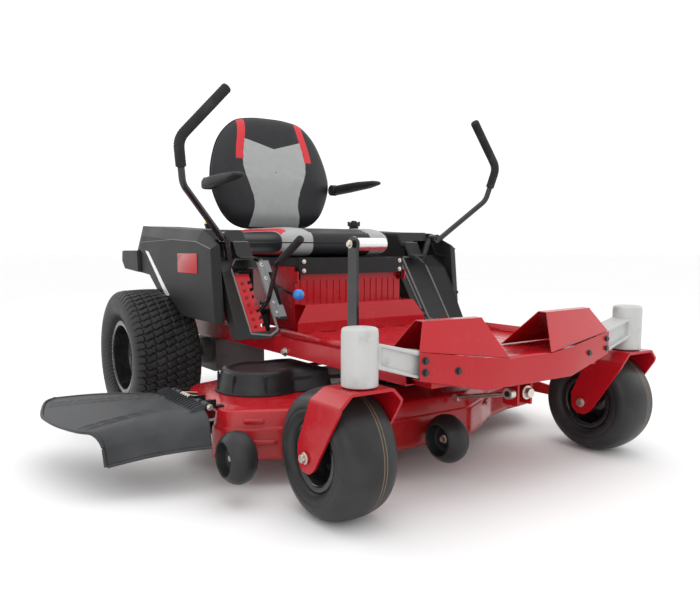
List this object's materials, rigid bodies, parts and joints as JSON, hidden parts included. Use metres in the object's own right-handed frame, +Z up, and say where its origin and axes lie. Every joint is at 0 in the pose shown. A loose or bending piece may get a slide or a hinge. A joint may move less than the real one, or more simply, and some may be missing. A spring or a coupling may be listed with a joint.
{
  "type": "zero turn mower",
  "caption": "Ride-on mower steered by twin swing levers, with drive wheels behind, casters in front, a lifting belly deck, side chute and a high-back seat.",
  "frame": {"origin": "middle of the whole footprint, chute included, on the ground", "axes": "+Z up, +Y towards the rear (the engine), +X to the operator's left"},
  "size_m": [1.791, 1.955, 1.216],
  "materials": {
    "red_paint": "gloss powder coat",
    "black_paint": "satin powder coat",
    "cast_aluminium": "as cast, matt",
    "engine_aluminium": "as cast",
    "zinc_steel": "zinc plated",
    "bright_roller": "brushed bright",
    "pod_plastic": "moulded, fine texture",
    "console_plastic": "moulded, fine texture",
    "tyre_rubber": "matt",
    "rim_paint": "gloss black",
    "grip_foam": "foam",
    "belt_rubber": "fabric covered rubber",
    "blue_knob": "gloss",
    "seat_vinyl": "vinyl with light grey inserts",
    "roller_plastic": "smooth",
    "cover_plastic": "smooth",
    "silencer_steel": "heat marked"
  },
  "bodies": {
    "frame": {"main_frame": "red_paint", "front_bumper": "red_paint", "floor_pan": "red_paint", "footrests": "red_paint", "seat_box": "red_paint", "frame_bolts": "zinc_steel", "rear_guard": "black_paint", "control_mounts": "black_paint", "height_gate": "red_paint", "fender_right": "pod_plastic", "fender_left": "pod_plastic", "console_right": "console_plastic", "console_left": "console_plastic", "engine_block": "engine_aluminium", "engine_shroud": "cover_plastic", "muffler": "silencer_steel", "fuel_tank": "cover_plastic", "hydro_drives": "engine_aluminium", "caster_arm_right": "cast_aluminium", "caster_arm_left": "cast_aluminium"},
    "fuel_cap": {"fuel_cap": "cover_plastic"},
    "height_lever": {"height_lever": "black_paint", "height_grip": "grip_foam"},
    "pedal": {"pedal_arm": "black_paint"},
    "pedal_roller": {"pedal_roller": "bright_roller"},
    "speed_lever": {"speed_lever": "black_paint", "speed_knob": "blue_knob"},
    "seat_base": {"seat_pan": "black_paint"},
    "seat": {"seat_cushion": "seat_vinyl", "seat_back": "seat_vinyl"},
    "deck": {"deck_shell": "red_paint", "belt_covers": "cover_plastic", "deck_belt": "belt_rubber", "chute_hinge": "black_paint"},
    "deck_link": {"deck_link": "zinc_steel"},
    "chute": {"chute": "cover_plastic"},
    "rear_wheel_right": {"rear_tyre_right": "tyre_rubber", "rear_rim_right": "rim_paint"},
    "caster_right": {"caster_fork_right": "red_paint"},
    "caster_wheel_right": {"caster_tyre_right": "tyre_rubber", "caster_rim_right": "rim_paint"},
    "lever_post_right": {"lever_bracket_right": "black_paint"},
    "lever_right": {"lever_tube_right": "black_paint", "lever_grip_right": "grip_foam"},
    "armrest_right": {"armrest_right": "pod_plastic"},
    "rear_wheel_left": {"rear_tyre_left": "tyre_rubber", "rear_rim_left": "rim_paint"},
    "caster_left": {"caster_fork_left": "red_paint"},
    "caster_wheel_left": {"caster_tyre_left": "tyre_rubber", "caster_rim_left": "rim_paint"},
    "lever_post_left": {"lever_bracket_left": "black_paint"},
    "lever_left": {"lever_tube_left": "black_paint", "lever_grip_left": "grip_foam"},
    "armrest_left": {"armrest_left": "pod_plastic"},
    "spindle_right": {"spindle_right": "black_paint"},
    "spindle_centre": {"spindle_centre": "black_paint"},
    "spindle_left": {"spindle_left": "black_paint"},
    "roller_right": {"roller_right": "roller_plastic"},
    "roller_centre": {"roller_centre": "roller_plastic"},
    "roller_left": {"roller_left": "roller_plastic"}
  },
  "joints": [
    {"name": "rear_spin_right", "type": "hinge", "parent": "frame", "child": "rear_wheel_right", "pos_m": [-0.4225, 0.3885, 0.254], "axis": [1, 0, 0], "continuous": true},
    {"name": "swivel_right", "type": "hinge", "parent": "frame", "child": "caster_right", "pos_m": [-0.3645, -0.9045, 0.42], "axis": [0, 0, 1], "continuous": true},
    {"name": "caster_spin_right", "type": "hinge", "parent": "caster_right", "child": "caster_wheel_right", "pos_m": [-0.3645, -0.8125, 0.165], "axis": [1, 0, 0], "continuous": true},
    {"name": "drive_right", "type": "hinge", "parent": "frame", "child": "lever_post_right", "pos_m": [-0.2655, -0.0165, 0.572], "axis": [1, 0, 0], "range_deg": [-12, 16]},
    {"name": "swing_in_right", "type": "hinge", "parent": "lever_post_right", "child": "lever_right", "pos_m": [-0.3075, -0.0605, 0.703], "axis": [0, 1, 0], "range_deg": [0, 30]},
    {"name": "armrest_flip_right", "type": "hinge", "parent": "seat", "child": "armrest_right", "pos_m": [-0.1395, 0.4405, 0.925], "axis": [-1, 0, 0], "range_deg": [0, 85]},
    {"name": "rear_spin_left", "type": "hinge", "parent": "frame", "child": "rear_wheel_left", "pos_m": [0.7515, 0.3885, 0.254], "axis": [1, 0, 0], "continuous": true},
    {"name": "swivel_left", "type": "hinge", "parent": "frame", "child": "caster_left", "pos_m": [0.6935, -0.9045, 0.42], "axis": [0, 0, 1], "continuous": true},
    {"name": "caster_spin_left", "type": "hinge", "parent": "caster_left", "child": "caster_wheel_left", "pos_m": [0.6935, -0.8125, 0.165], "axis": [1, 0, 0], "continuous": true},
    {"name": "drive_left", "type": "hinge", "parent": "frame", "child": "lever_post_left", "pos_m": [0.5945, -0.0165, 0.572], "axis": [1, 0, 0], "range_deg": [-12, 16]},
    {"name": "swing_in_left", "type": "hinge", "parent": "lever_post_left", "child": "lever_left", "pos_m": [0.6365, -0.0605, 0.703], "axis": [0, -1, 0], "range_deg": [0, 30]},
    {"name": "armrest_flip_left", "type": "hinge", "parent": "seat", "child": "armrest_left", "pos_m": [0.4685, 0.4405, 0.925], "axis": [-1, 0, 0], "range_deg": [0, 85]},
    {"name": "deck_lift", "type": "slide", "parent": "frame", "child": "deck", "axis": [0, 0, 1], "range_m": [-0.042, 0.025]},
    {"name": "height_set", "type": "hinge", "parent": "frame", "child": "height_lever", "pos_m": [-0.1875, -0.0555, 0.44], "axis": [1, 0, 0], "range_deg": [-12, 20]},
    {"name": "pedal_push", "type": "hinge", "parent": "frame", "child": "pedal", "pos_m": [-0.1795, -0.6215, 0.42], "axis": [1, 0, 0], "range_deg": [-15, 9]},
    {"name": "pedal_roll", "type": "hinge", "parent": "pedal", "child": "pedal_roller", "pos_m": [-0.1295, -0.6215, 0.677], "axis": [1, 0, 0], "continuous": true},
    {"name": "link_swing", "type": "hinge", "parent": "frame", "child": "deck_link", "pos_m": [0.1605, -0.8965, 0.262], "axis": [1, 0, 0], "range_deg": [-12, 8]},
    {"name": "speed_set", "type": "hinge", "parent": "frame", "child": "speed_lever", "pos_m": [-0.1325, -0.0595, 0.54], "axis": [1, 0, 0], "range_deg": [-12, 12]},
    {"name": "seat_tilt", "type": "hinge", "parent": "frame", "child": "seat_base", "pos_m": [0.1645, -0.1335, 0.566], "axis": [1, 0, 0], "range_deg": [0, 45]},
    {"name": "seat_slide", "type": "slide", "parent": "seat_base", "child": "seat", "axis": [0, 1, 0], "range_m": [-0.05, 0.06]},
    {"name": "chute_flip", "type": "hinge", "parent": "deck", "child": "chute", "pos_m": [-0.5475, -0.3115, 0.232], "axis": [0, 1, 0], "range_deg": [0, 80]},
    {"name": "cap_turn", "type": "hinge", "parent": "frame", "child": "fuel_cap", "pos_m": [0.5945, 0.4485, 0.772], "axis": [0, 0, 1], "range_deg": [0, 120]},
    {"name": "blade_spin_right", "type": "hinge", "parent": "deck", "child": "spindle_right", "pos_m": [-0.2865, -0.2515, 0.2], "axis": [0, 0, 1], "continuous": true},
    {"name": "blade_spin_centre", "type": "hinge", "parent": "deck", "child": "spindle_centre", "pos_m": [0.1645, -0.4235, 0.2], "axis": [0, 0, 1], "continuous": true},
    {"name": "blade_spin_left", "type": "hinge", "parent": "deck", "child": "spindle_left", "pos_m": [0.6155, -0.2515, 0.2], "axis": [0, 0, 1], "continuous": true},
    {"name": "roller_spin_right", "type": "hinge", "parent": "deck", "child": "roller_right", "pos_m": [-0.5325, -0.5965, 0.124], "axis": [1, 0, 0], "continuous": true},
    {"name": "roller_spin_centre", "type": "hinge", "parent": "deck", "child": "roller_centre", "pos_m": [0.0445, -0.7735, 0.124], "axis": [1, 0, 0], "continuous": true},
    {"name": "roller_spin_left", "type": "hinge", "parent": "deck", "child": "roller_left", "pos_m": [0.8615, -0.5965, 0.124], "axis": [1, 0, 0], "continuous": true}
  ],
  "couplings": [
    {"joint": "height_set", "follows": "deck_lift", "rad_per_m": -8},
    {"joint": "pedal_push", "follows": "deck_lift", "rad_per_m": 6},
    {"joint": "link_swing", "follows": "deck_lift", "rad_per_m": 4.85},
    {"joint": "blade_spin_right", "follows": "blade_spin_centre", "ratio": 1},
    {"joint": "blade_spin_left", "follows": "blade_spin_centre", "ratio": 1}
  ]
}
